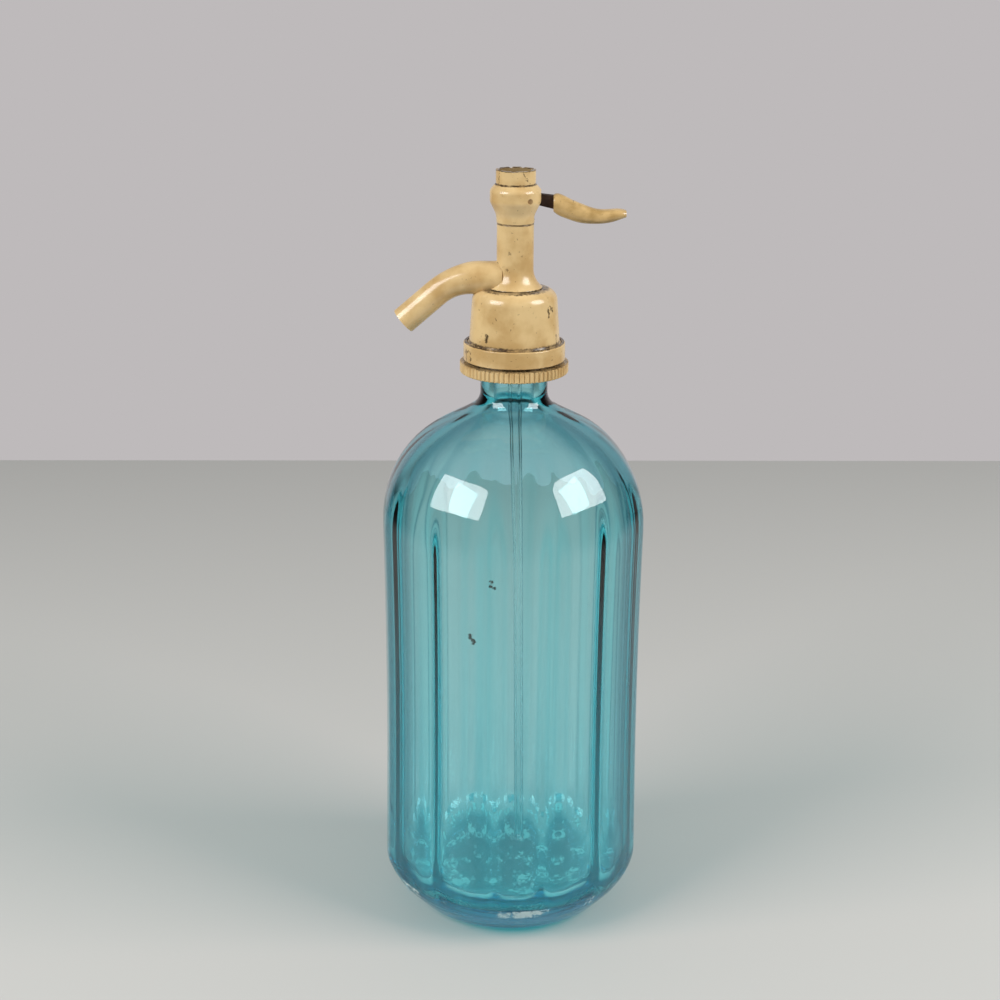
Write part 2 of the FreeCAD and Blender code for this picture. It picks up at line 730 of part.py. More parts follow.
def spout_tube():
    """Moulded casing of the spout, thicker at its root, trimmed to the stem's flare and the bell."""
    stations = []
    for x in (5.0, 9.0, 12.5):
        stations.append((vec(-x, 0, spout_z), spout_way(0), SPOUT_ROOT_R))
    for turn, share in ((4, 0.93), (12, 0.62), (20, 0.3), (28, 0.1), (36, 0.0), (SPOUT_BEND, 0.0)):
        radius = SPOUT_R + share * (SPOUT_ROOT_R - SPOUT_R)
        stations.append((spout_point(turn), spout_way(turn), radius))
    rings = [Part.Wire(Part.Circle(place, way, r).toShape()) for place, way, r in stations]
    root = Part.makeLoft(rings, True, False)
    end = Part.makeCylinder(SPOUT_R, SPOUT_END_L - SPOUT_LIP_T, spout_point(SPOUT_BEND), spout_way(SPOUT_BEND))
    casing = root.fuse(end).cut(spout_bar(LINER_R + FIT, 0, SPOUT_END_L + 1))
    stem = turned([(0, groove_z, 0)] + stem_corners() + [(0, seam_z, 0)])
    bell = turned([(0, seam_z, 0)] + bell_corners() + [(0, collar_top_z + 0.6, 0)])
    return casing.cut(stem).cut(bell)


def spout_liner():
    """Inner tube of the spout, with the thin flange that ends the casing."""
    lip_z = spout_point(SPOUT_BEND) + spout_way(SPOUT_BEND) * (SPOUT_END_L - SPOUT_LIP_T)
    lip = Part.makeCylinder(SPOUT_R, SPOUT_LIP_T, lip_z, spout_way(SPOUT_BEND))
    tube = spout_bar(LINER_R, LINER_START, SPOUT_END_L).fuse(lip)
    return tube.cut(spout_bar(LINER_BORE_R, LINER_START - 1, SPOUT_END_L + 1))


NODES = {
    "glass_bottle": glass_bottle,
    "dip_tube": dip_tube,
    "tube_holder": tube_holder,
    "tube_gasket": tube_gasket,
    "neck_gasket": neck_gasket,
    "split_collar_front": lambda: split_collar(-1),
    "split_collar_back": lambda: split_collar(1),
    "knurled_ring": knurled_ring,
    "collar_ring": collar_ring,
    "bell_cover": bell_cover,
    "stem_column": stem_column,
    "lever_housing": lever_housing,
    "top_collar": top_collar,
    "core_body": core_body,
    "valve_seat": valve_seat,
    "valve_washer": valve_washer,
    "washer_retainer": washer_retainer,
    "valve_rod": valve_rod,
    "rod_seal": rod_seal,
    "seal_follower": seal_follower,
    "valve_spring": valve_spring,
    "guide_bush": guide_bush,
    "lever_pin": lever_pin,
    "lever_shank": lever_shank,
    "lever_grip": lever_grip,
    "spout_tube": spout_tube,
    "spout_liner": spout_liner,
}


def main():
    """Builds every piece and writes it to parts/."""
    os.makedirs("parts", exist_ok=True)
    for name, build in NODES.items():
        shape = build().removeSplitter()
        shape.exportStep("parts/" + name + ".step")
        box_mm = shape.BoundBox
        print("%-20s solids %d valid %s volume %.0f z %.1f to %.1f" % (
            name, len(shape.Solids), shape.isValid(), shape.Volume, box_mm.ZMin, box_mm.ZMax))


main()
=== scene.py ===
"""Looks of the soda siphon: aqua panelled glass, an aged cream moulded head and a rusty steel lever."""

import logging
import math
from dataclasses import dataclass
from enum import Enum

import bmesh
import bpy
import numpy as np
from mathutils import Euler, Matrix, Vector


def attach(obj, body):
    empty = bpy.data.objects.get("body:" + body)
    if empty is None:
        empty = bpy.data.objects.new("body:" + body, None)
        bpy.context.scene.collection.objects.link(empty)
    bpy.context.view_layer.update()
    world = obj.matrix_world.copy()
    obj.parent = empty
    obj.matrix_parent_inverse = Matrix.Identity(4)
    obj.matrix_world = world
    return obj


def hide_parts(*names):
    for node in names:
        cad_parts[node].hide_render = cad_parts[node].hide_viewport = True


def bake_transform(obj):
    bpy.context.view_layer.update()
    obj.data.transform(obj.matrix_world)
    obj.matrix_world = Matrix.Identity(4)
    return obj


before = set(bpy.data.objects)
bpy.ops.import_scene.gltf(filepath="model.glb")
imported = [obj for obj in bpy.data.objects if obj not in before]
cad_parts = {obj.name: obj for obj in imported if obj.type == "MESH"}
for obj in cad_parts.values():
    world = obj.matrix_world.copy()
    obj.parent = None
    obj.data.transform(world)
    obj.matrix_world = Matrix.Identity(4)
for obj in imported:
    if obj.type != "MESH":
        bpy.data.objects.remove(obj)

logging.basicConfig(level=logging.INFO, format="%(message)s")
LOG = logging.getLogger("siphon")

MM = 0.001
SIDE_SHARE = 0.98  # most of a side that the rounds at its two ends may use together
SAME_PLACE = 1e-6  # how near two points lie to count as one
CYCLE = 2 * math.pi
Triple = tuple[float, float, float]
Seam = tuple[float, float]  # height and half width of a line of grime and painted shade, in millimetres
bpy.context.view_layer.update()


# ---------------------------------------------------------------------------
# Mesh helpers
# ---------------------------------------------------------------------------


def rounded_outline(corners: list[Triple], arc_steps: int, longest: float) -> np.ndarray:
    """Samples an open outline whose corners are rounded by arcs tangent to both sides.

    An arc of radius R at a corner with half angle h starts R / tan(h) before the corner. Long straight
    runs are divided evenly, so that no step is longer than the given one.

    Args:
        corners: (r, z, round) in millimetres, with no round at the two ends.
        arc_steps: number of steps on each arc.
        longest: longest step on a straight run, in millimetres.

    Returns:
        Points (r, z) in millimetres, one row each.
    """
    places = np.array([corner[:2] for corner in corners], float)
    rounds = np.array([corner[2] for corner in corners], float)
    before = places[:-2] - places[1:-1]
    after = places[2:] - places[1:-1]
    long_before = np.linalg.norm(before, axis=1)
    long_after = np.linalg.norm(after, axis=1)
    before /= long_before[:, None]
    after /= long_after[:, None]
    half = np.arccos(np.clip((before * after).sum(1), -1, 1)) / 2
    wanted = np.concatenate(([0.0], rounds[1:-1] / np.tan(half), [0.0]))
    room_before = np.maximum(SIDE_SHARE / 2 * long_before, SIDE_SHARE * long_before - wanted[:-2])
    room_after = np.maximum(SIDE_SHARE / 2 * long_after, SIDE_SHARE * long_after - wanted[2:])
    reach = np.minimum(wanted[1:-1], np.minimum(room_before, room_after))
    start = places[1:-1] + before * reach[:, None]
    stop = places[1:-1] + after * reach[:, None]
    share = np.linspace(0, 1, arc_steps + 1)
    turn = math.pi - 2 * half
    run: list[np.ndarray] = [places[:1]]
    for i in range(len(half)):
        if reach[i] <= 0:
            run.append(places[i + 1 : i + 2])
            continue
        radius = reach[i] * math.tan(half[i])
        middle = before[i] + after[i]
        centre = places[i + 1] + middle / np.linalg.norm(middle) * radius / math.sin(half[i])
        first, last = start[i] - centre, stop[i] - centre
        weights = np.sin(np.outer(np.stack((1 - share, share), 1), [turn[i]])).reshape(-1, 2)
        run.append(centre + (weights[:, :1] * first + weights[:, 1:] * last) / math.sin(turn[i]))
    run.append(places[-1:])
    points = np.vstack(run)
    steps = np.linalg.norm(np.diff(points, axis=0), axis=1)
    points = points[np.concatenate(([True], steps > SAME_PLACE))]
    steps = np.linalg.norm(np.diff(points, axis=0), axis=1)
    pieces = np.maximum(1, np.ceil(steps / longest)).astype(int)
    at = np.concatenate([i + np.arange(n) / n for i, n in enumerate(pieces)] + [[float(len(pieces))]])
    index = np.arange(len(points))
    return np.stack((np.interp(at, index, points[:, 0]), np.interp(at, index, points[:, 1])), 1)


def grid_piece(name: str, points: np.ndarray) -> bpy.types.Object:
    """Makes an object from a grid of points, with outward faces and smooth shading.

    Each row is a closed loop, and the first and last rows may be poles.

    Args:
        name: the object's name.
        points: array (rows, columns, 3) in metres.

    Returns:
        The linked object.
    """
    rows, columns = points.shape[:2]
    low = (np.arange(rows - 1) * columns)[:, None]
    left = np.arange(columns)[None, :]
    right = (left + 1) % columns
    high = low + columns
    faces = np.stack((low + left, low + right, high + right, high + left), -1).reshape(-1, 4)
    flat = points.reshape(-1, 3)
    p, q, s, t = (flat[faces[:, i]] for i in range(4))
    volume = (np.cross(q, s) * p).sum() + (np.cross(s, t) * p).sum()
    if volume < 0:
        faces = faces[:, ::-1]
    mesh = bpy.data.meshes.new(name)
    mesh.from_pydata(flat.tolist(), [], faces.tolist())
    mesh.polygons.foreach_set("use_smooth", np.ones(len(faces), bool))
    mesh.update()
    piece = bpy.data.objects.new(name, mesh)
    bpy.context.scene.collection.objects.link(piece)
    return piece


def weld(piece: bpy.types.Object, distance: float = SAME_PLACE) -> None:
    """Merges points that lie on each other, such as those of a pole.

    Args:
        piece: the mesh object.
        distance: how near two points lie to count as one, in metres.
    """
    work = bmesh.new()
    work.from_mesh(piece.data)
    bmesh.ops.remove_doubles(work, verts=work.verts, dist=distance)
    work.to_mesh(piece.data)
    work.free()
    piece.data.update()


# ---------------------------------------------------------------------------
# Material helpers
# ---------------------------------------------------------------------------


def linear(hex_colour: str) -> tuple[float, float, float, float]:
    """Turns an sRGB hex colour such as '#C8B080' into linear light.

    Args:
        hex_colour: '#' and six hex digits.

    Returns:
        Red, green, blue and a full alpha.
    """
    value = np.array([int(hex_colour[i : i + 2], 16) for i in (1, 3, 5)]) / 255
    light = np.where(value <= 0.04045, value / 12.92, ((value + 0.055) / 1.055) ** 2.4)
    return (float(light[0]), float(light[1]), float(light[2]), 1.0)


def add_node(
    tree: bpy.types.NodeTree,
    kind: str,
    settings: dict[str, object] | None = None,
    inputs: dict[str | int, object] | None = None,
) -> bpy.types.Node:
    """Adds a node with its settings and links.

    Args:
        tree: the node tree.
        kind: the node's type name.
        settings: attribute names and values.
        inputs: socket names or numbers, each with a value or with an output socket to link.

    Returns:
        The new node.
    """
    node = tree.nodes.new(kind)
    for key, value in (settings or {}).items():
        setattr(node, key, value)
    for key, value in (inputs or {}).items():
        if isinstance(value, bpy.types.NodeSocket):
            tree.links.new(value, node.inputs[key])
        else:
            node.inputs[key].default_value = value
    return node


def new_material(name: str) -> tuple[bpy.types.Material, bpy.types.NodeTree]:
    """Makes an empty node material.

    Args:
        name: the material's name.

    Returns:
        The material and its node tree.
    """
    material = bpy.data.materials.new(name)
    material.use_nodes = True
    material.node_tree.nodes.clear()
    return material, material.node_tree


def grain(size_mm: float) -> float:
    """Gives the noise scale for features of a real width.

    Args:
        size_mm: width of a feature in millimetres.

    Returns:
        The scale, on coordinates in metres.
    """
    return 1.0 / (size_mm * MM)


@dataclass(frozen=True)
class Blemish:
    """A chip, stain or crack: a line from one point to another, or a spot where they are the same. In mm."""

    start: Triple
    stop: Triple
    width: float = 0.3
    depth: float = 0.9


def spot(x: float, y: float, z: float, width: float = 0.5, depth: float = 0.9) -> Blemish:
    """Makes a round blemish.

    Args:
        x, y, z: its middle in millimetres.
        width: its radius in millimetres.
        depth: how dark it is, from 0 to 1.

    Returns:
        The blemish, as a line of next to no length.
    """
    return Blemish((x, y, z), (x, y, z + 0.01), width, depth)


def blemish_mask(
    tree: bpy.types.NodeTree,
    place: bpy.types.NodeSocket,
    marks: tuple[Blemish, ...],
    ragged_mm: float = 1.5,
    shift_mm: float = 3.2,
) -> bpy.types.NodeSocket:
    """Adds nodes for the darkness of all blemishes together.

    The distance to a line through P along the unit vector d is |(X - P) x d|, kept only within half the
    line's length from its middle. The place X is shifted by noise first, so that no edge is clean.

    Args:
        tree: the node tree.
        place: object coordinates in metres.
        marks: the blemishes.
        ragged_mm: width of the bends in their edges.
        shift_mm: how far the noise can shift a place in all.

    Returns:
        A socket from 0 to 1.
    """
    noise = add_node(tree, "ShaderNodeTexNoise", inputs={
        "Vector": place, "Scale": grain(ragged_mm), "Detail": 4.0, "Roughness": 0.65})
    jitter = add_node(tree, "ShaderNodeVectorMath", {"operation": "MULTIPLY_ADD"}, {
        0: noise.outputs["Color"], 1: (shift_mm * MM,) * 3, 2: (-shift_mm / 2 * MM,) * 3})
    ragged = add_node(tree, "ShaderNodeVectorMath", {"operation": "ADD"}, {
        0: place, 1: jitter.outputs[0]}).outputs[0]
    total = add_node(tree, "ShaderNodeValue").outputs[0]
    total.default_value = 0.0
    for mark in marks:
        start, stop = Vector(mark.start) * MM, Vector(mark.stop) * MM
        length = (stop - start).length
        from_start = add_node(tree, "ShaderNodeVectorMath", {"operation": "SUBTRACT"}, {0: ragged, 1: start})
        side = add_node(tree, "ShaderNodeVectorMath", {"operation": "CROSS_PRODUCT"}, {
            0: from_start.outputs[0], 1: (stop - start) / length})
        off = add_node(tree, "ShaderNodeVectorMath", {"operation": "LENGTH"}, {
            0: side.outputs[0]}).outputs["Value"]
        from_middle = add_node(tree, "ShaderNodeVectorMath", {"operation": "DISTANCE"}, {
            0: ragged, 1: (start + stop) / 2}).outputs["Value"]
        line = add_node(tree, "ShaderNodeMapRange", {"interpolation_type": "SMOOTHSTEP"}, {
            "Value": off, "From Min": 0.35 * mark.width * MM, "From Max": mark.width * MM,
            "To Min": mark.depth, "To Max": 0.0})
        reach = length / 2 + mark.width * MM
        within = add_node(tree, "ShaderNodeMapRange", inputs={
            "Value": from_middle, "From Min": 0.9 * reach, "From Max": 1.05 * reach,
            "To Min": 1.0, "To Max": 0.0})
        part = add_node(tree, "ShaderNodeMath", {"operation": "MULTIPLY"}, {
            0: line.outputs[0], 1: within.outputs[0]})
        total = add_node(tree, "ShaderNodeMath", {"operation": "MAXIMUM"}, {
            0: total, 1: part.outputs[0]}).outputs[0]
    return total


@dataclass(frozen=True)
class BottleGlass:
    """Soda-lime bottle glass tinted aqua with copper or iron, blown in a mould.

    It is clear and smooth, a little wavy, and its colour deepens with thickness.
    """

    name: str = "aqua_bottle_glass"
    body: str = "#22F3FA"
    density: float = 76.0
    # colour of the painted shade that darkens the glass at grazing angles
    grazing: str = "#84A8B6"
    # painted light: a pale teal diffuse layer, strongest near the foot, stands in for light scattered through
    # the glass
    painted_glow: str = "#5ADCE8"
    painted_glow_share: float = 0.2
    painted_glow_foot_z: float = 20.0
    painted_glow_top_z: float = 150.0
    shade: str = "#C4DFE0"
    lime: str = "#D9EDEB"
    stone: str = "#2B2116"
    ior: float = 1.52
    wave_mm: float = 9.0
    streak_mm: float = 6.0
    streak_stretch: float = 0.12
    scale_mm: float = 2.6
    patch_mm: float = 14.0
    scale_z: float = 15.6
    scale_reach: float = 2.2
    marks: tuple[Blemish, ...] = ()

    def build(self) -> bpy.types.Material:
        """Makes clear refraction with aqua absorption, painted shade at grazing angles, a painted glow of
        light low in the glass, and lime scale on the inner floor.

        Returns:
            The material.
        """
        material, tree = new_material(self.name)
        place = add_node(tree, "ShaderNodeTexCoord").outputs["Object"]
        wave = add_node(tree, "ShaderNodeTexNoise", inputs={
            "Vector": place, "Scale": grain(self.wave_mm), "Detail": 1.0})
        bump = add_node(tree, "ShaderNodeBump", inputs={
            "Height": wave.outputs["Fac"], "Strength": 0.05, "Distance": 0.0004})
        # painted shade: the glass's colour darkens towards grazing angles, standing in for the dark edges of
        # the thick wall
        edge_shade_mask = add_node(tree, "ShaderNodeMapRange", {"interpolation_type": "SMOOTHSTEP"}, {
            "Value": add_node(tree, "ShaderNodeLayerWeight").outputs["Facing"],
            "From Min": 0.28, "From Max": 0.66})
        edge_shade = add_node(tree, "ShaderNodeMix", {"data_type": "RGBA"}, {
            0: edge_shade_mask.outputs[0], 6: (1, 1, 1, 1), 7: linear(self.grazing)})
        glass = add_node(tree, "ShaderNodeBsdfPrincipled", inputs={
            "Base Color": edge_shade.outputs[2], "Roughness": 0.0, "IOR": self.ior, "Transmission Weight": 1.0,
            "Normal": bump.outputs["Normal"]})
        height = add_node(tree, "ShaderNodeSeparateXYZ", inputs={0: place}).outputs["Z"]
        # painted light: the glow layer's share, in vertical streaks, fading from the foot height to the top
        # height
        drawn = add_node(tree, "ShaderNodeVectorMath", {"operation": "MULTIPLY"}, {
            0: place, 1: (1, 1, self.streak_stretch)})
        streak = add_node(tree, "ShaderNodeTexNoise", inputs={
            "Vector": drawn.outputs[0], "Scale": grain(self.streak_mm), "Detail": 3.0})
        low = add_node(tree, "ShaderNodeMapRange", inputs={
            "Value": height, "From Min": self.painted_glow_foot_z * MM, "From Max": self.painted_glow_top_z * MM,
            "To Min": self.painted_glow_share, "To Max": 0.0})
        share = add_node(tree, "ShaderNodeMath", {"operation": "MULTIPLY"}, {
            0: low.outputs[0], 1: streak.outputs["Fac"]})
        painted_glow_layer = add_node(tree, "ShaderNodeBsdfPrincipled", inputs={
            "Base Color": linear(self.painted_glow), "Roughness": 0.3})
        glass = add_node(tree, "ShaderNodeMixShader", inputs={
            0: share.outputs[0], 1: glass.outputs[0], 2: painted_glow_layer.outputs[0]})
        crust = add_node(tree, "ShaderNodeTexNoise", inputs={
            "Vector": place, "Scale": grain(self.scale_mm), "Detail": 6.0, "Roughness": 0.75})
        patch = add_node(tree, "ShaderNodeTexNoise", inputs={
            "Vector": place, "Scale": grain(self.patch_mm), "Detail": 1.0})
        both = add_node(tree, "ShaderNodeMath", {"operation": "MULTIPLY"}, {
            0: crust.outputs["Fac"], 1: patch.outputs["Fac"]})
        near_floor = add_node(tree, "ShaderNodeMath", {"operation": "COMPARE"}, {
            0: height, 1: self.scale_z * MM, 2: self.scale_reach * MM})
        scaled = add_node(tree, "ShaderNodeMapRange", {"interpolation_type": "SMOOTHSTEP"}, {
            "Value": both.outputs[0], "From Min": 0.25, "From Max": 0.36, "To Max": 0.75})
        lime_share = add_node(tree, "ShaderNodeMath", {"operation": "MULTIPLY"}, {
            0: scaled.outputs[0], 1: near_floor.outputs[0]})
        lime = add_node(tree, "ShaderNodeBsdfPrincipled", inputs={
            "Base Color": linear(self.lime), "Roughness": 0.8})
        glass = add_node(tree, "ShaderNodeMixShader", inputs={
            0: lime_share.outputs[0], 1: glass.outputs[0], 2: lime.outputs[0]})
        stone = add_node(tree, "ShaderNodeBsdfPrincipled", inputs={
            "Base Color": linear(self.stone), "Roughness": 0.6})
        glass = add_node(tree, "ShaderNodeMixShader", inputs={
            0: blemish_mask(tree, place, self.marks), 1: glass.outputs[0], 2: stone.outputs[0]})
        clear = add_node(tree, "ShaderNodeBsdfTransparent", inputs={"Color": linear(self.shade)})
        path = add_node(tree, "ShaderNodeLightPath")
        soft = add_node(tree, "ShaderNodeMath", {"operation": "MAXIMUM"}, {
            0: path.outputs["Is Shadow Ray"], 1: path.outputs["Is Diffuse Ray"]})
        shadowed = add_node(tree, "ShaderNodeMixShader", inputs={
            0: soft.outputs[0], 1: glass.outputs[0], 2: clear.outputs[0]})
        absorb = add_node(tree, "ShaderNodeVolumeAbsorption", inputs={
            "Color": linear(self.body), "Density": self.density})
        add_node(tree, "ShaderNodeOutputMaterial", inputs={
            "Surface": shadowed.outputs[0], "Volume": absorb.outputs[0]})
        return material


@dataclass(frozen=True)
class AgedCream:
    """Moulded urea plastic, cream when new, yellowed and worn by a century of hands.

    It is glossy, blotched with tan, and every seam is dark with grime and painted shade.
    """

    name: str = "aged_cream_plastic"
    pale: str = "#D9BC88"
    tan: str = "#C09E68"
    # dark colour of the specks of grime, of the seams (grime and painted shade) and of the painted shade in a
    # bore
    dirt_and_shade: str = "#33241A"
    blotch_mm: float = 11.0
    speck_mm: float = 1.1
    worn_mm: float = 4.0
    seam_ragged: float = 1.6
    crack: str = "#2A1C10"
    seams: tuple[Seam, ...] = ()
    marks: tuple[Blemish, ...] = ()
    shaded_bore_r: float = 0.0
    roughness: float = 0.17

    def build(self) -> bpy.types.Material:
        """Makes a blotched tan colour with seams dark with grime and painted shade, sparse specks, painted
        shade in a bore, and a soft gloss.

        Returns:
            The material.
        """
        material, tree = new_material(self.name)
        place = add_node(tree, "ShaderNodeTexCoord").outputs["Object"]
        blotch = add_node(tree, "ShaderNodeTexNoise", inputs={
            "Vector": place, "Scale": grain(self.blotch_mm), "Detail": 4.0})
        share = add_node(tree, "ShaderNodeMapRange", {"interpolation_type": "SMOOTHSTEP"}, {
            "Value": blotch.outputs["Fac"], "From Min": 0.36, "From Max": 0.68})
        colour = add_node(tree, "ShaderNodeMix", {"data_type": "RGBA"}, {
            0: share.outputs[0], 6: linear(self.pale), 7: linear(self.tan)}).outputs[2]
        speck = add_node(tree, "ShaderNodeTexNoise", inputs={
            "Vector": place, "Scale": grain(self.speck_mm), "Detail": 2.0})
        spots = add_node(tree, "ShaderNodeMapRange", {"interpolation_type": "SMOOTHSTEP"}, {
            "Value": speck.outputs["Fac"], "From Min": 0.69, "From Max": 0.76, "To Max": 0.55})
        colour = add_node(tree, "ShaderNodeMix", {"data_type": "RGBA"}, {
            0: spots.outputs[0], 6: colour, 7: linear(self.dirt_and_shade)}).outputs[2]
        height = add_node(tree, "ShaderNodeSeparateXYZ", inputs={0: place}).outputs["Z"]
        # patches that break up the seams' grime and painted shade
        worn = add_node(tree, "ShaderNodeTexNoise", inputs={
            "Vector": place, "Scale": grain(self.worn_mm), "Detail": 3.0})
        patchy = add_node(tree, "ShaderNodeMapRange", inputs={
            "Value": worn.outputs["Fac"], "From Min": 0.38, "From Max": 0.58, "To Min": 0.45, "To Max": 0.95})
        # grime and painted shade: a ragged dark band at each seam's height, broken in patches
        for seam_z, width in self.seams:
            ragged = add_node(tree, "ShaderNodeMath", {"operation": "MULTIPLY_ADD"}, {
                0: speck.outputs["Fac"], 1: self.seam_ragged * width * MM,
                2: (-seam_z - self.seam_ragged / 2 * width) * MM})
            off = add_node(tree, "ShaderNodeMath", {"operation": "ADD"}, {0: height, 1: ragged.outputs[0]})
            away = add_node(tree, "ShaderNodeMath", {"operation": "ABSOLUTE"}, {0: off.outputs[0]})
            band = add_node(tree, "ShaderNodeMapRange", {"interpolation_type": "SMOOTHSTEP"}, {
                "Value": away.outputs[0], "From Min": 0.15 * width * MM, "From Max": width * MM,
                "To Min": 1.0, "To Max": 0.0})
            dark = add_node(tree, "ShaderNodeMath", {"operation": "MULTIPLY"}, {
                0: band.outputs[0], 1: patchy.outputs[0]})
            colour = add_node(tree, "ShaderNodeMix", {"data_type": "RGBA"}, {
                0: dark.outputs[0], 6: colour, 7: linear(self.dirt_and_shade)}).outputs[2]
        # painted shade: the colour darkens inside the given radius, for the shade in the piece's bore
        if self.shaded_bore_r:
            flat = add_node(tree, "ShaderNodeVectorMath", {"operation": "MULTIPLY"}, {0: place, 1: (1, 1, 0)})
            out = add_node(tree, "ShaderNodeVectorMath", {"operation": "LENGTH"}, {
                0: flat.outputs[0]}).outputs["Value"]
            bore = add_node(tree, "ShaderNodeMapRange", inputs={
                "Value": out, "From Min": (self.shaded_bore_r - 0.2) * MM, "From Max": (self.shaded_bore_r + 0.5) * MM,
                "To Min": 0.88, "To Max": 0.0})
            colour = add_node(tree, "ShaderNodeMix", {"data_type": "RGBA"}, {
                0: bore.outputs[0], 6: colour, 7: linear(self.dirt_and_shade)}).outputs[2]
        if self.marks:
            colour = add_node(tree, "ShaderNodeMix", {"data_type": "RGBA"}, {
                0: blemish_mask(tree, place, self.marks), 6: colour, 7: linear(self.crack)}).outputs[2]
        gloss = add_node(tree, "ShaderNodeMapRange", inputs={
            "Value": blotch.outputs["Fac"], "To Min": self.roughness * 0.7, "To Max": self.roughness * 1.6})
        bump = add_node(tree, "ShaderNodeBump", inputs={
            "Height": blotch.outputs["Fac"], "Strength": 0.25, "Distance": 0.0006})
        skin = add_node(tree, "ShaderNodeBsdfPrincipled", inputs={
            "Base Color": colour, "Roughness": gloss.outputs[0], "IOR": 1.53,
            "Normal": bump.outputs["Normal"]})
        add_node(tree, "ShaderNodeOutputMaterial", inputs={"Surface": skin.outputs[0]})
        return material


class Metal(Enum):
    """Bare metals: pale colour, dark colour, roughness, and how far it is still metal under its rust."""

    BRASS = ("#B99A55", "#7C6230", 0.38, 1.0)
    STEEL = ("#A9A7A2", "#6B6660", 0.34, 1.0)
    RUST = ("#4A3020", "#1E130D", 0.72, 0.35)


@dataclass(frozen=True)
class BareMetal:
    """Turned or cut metal, stained in patches by water."""

    metal: Metal
    stain_mm: float = 1.8

    def build(self) -> bpy.types.Material:
        """Mixes two tones of the metal in patches.

        Returns:
            The material.
        """
        pale, dark, roughness, metallic = self.metal.value
        material, tree = new_material("bare_" + self.metal.name.lower())
        place = add_node(tree, "ShaderNodeTexCoord").outputs["Object"]
        stain = add_node(tree, "ShaderNodeTexNoise", inputs={
            "Vector": place, "Scale": grain(self.stain_mm), "Detail": 5.0})
        colour = add_node(tree, "ShaderNodeMix", {"data_type": "RGBA"}, {
            0: stain.outputs["Fac"], 6: linear(pale), 7: linear(dark)})
        bump = add_node(tree, "ShaderNodeBump", inputs={
            "Height": stain.outputs["Fac"], "Strength": 0.5, "Distance": 0.0003})
        skin = add_node(tree, "ShaderNodeBsdfPrincipled", inputs={
            "Base Color": colour.outputs[2], "Metallic": metallic, "Roughness": roughness,
            "Normal": bump.outputs["Normal"]})
        add_node(tree, "ShaderNodeOutputMaterial", inputs={"Surface": skin.outputs[0]})
        return material


@dataclass(frozen=True)
class SealRubber:
    """Moulded black rubber, dull and slightly dusty."""

    colour: str = "#1C1B1A"
    dust: str = "#3A3835"
    dust_mm: float = 0.8

    def build(self) -> bpy.types.Material:
        """Makes dark matte rubber with fine dust.

        Returns:
            The material.
        """
        material, tree = new_material("seal_rubber")
        place = add_node(tree, "ShaderNodeTexCoord").outputs["Object"]
        dust = add_node(tree, "ShaderNodeTexNoise", inputs={"Vector": place, "Scale": grain(self.dust_mm)})
        colour = add_node(tree, "ShaderNodeMix", {"data_type": "RGBA"}, {
            0: dust.outputs["Fac"], 6: linear(self.colour), 7: linear(self.dust)})
        skin = add_node(tree, "ShaderNodeBsdfPrincipled", inputs={
            "Base Color": colour.outputs[2], "Roughness": 0.7})
        add_node(tree, "ShaderNodeOutputMaterial", inputs={"Surface": skin.outputs[0]})
        return material


def dress(material: bpy.types.Material, *nodes: str) -> None:
    """Gives CAD nodes a material.

    Args:
        material: the material.
        nodes: names of the nodes.
    """
    for node in nodes:
        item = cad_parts[node]
        item.data.materials.clear()
        item.data.materials.append(material)
        LOG.info("dressed %s with %s", node, material.name)


# ---------------------------------------------------------------------------
# Sub-assemblies
# ---------------------------------------------------------------------------


# Dark grains caught in the bottle's front wall, in millimetres.
GLASS_STONES = (
    spot(-8.2, -51.6, 159.2, 1.3),
    spot(-7.2, -51.8, 157.6, 1.1),
    spot(-16.2, -49.6, 136.6, 1.3),
    spot(-15.0, -50.0, 134.8, 1.2),
)


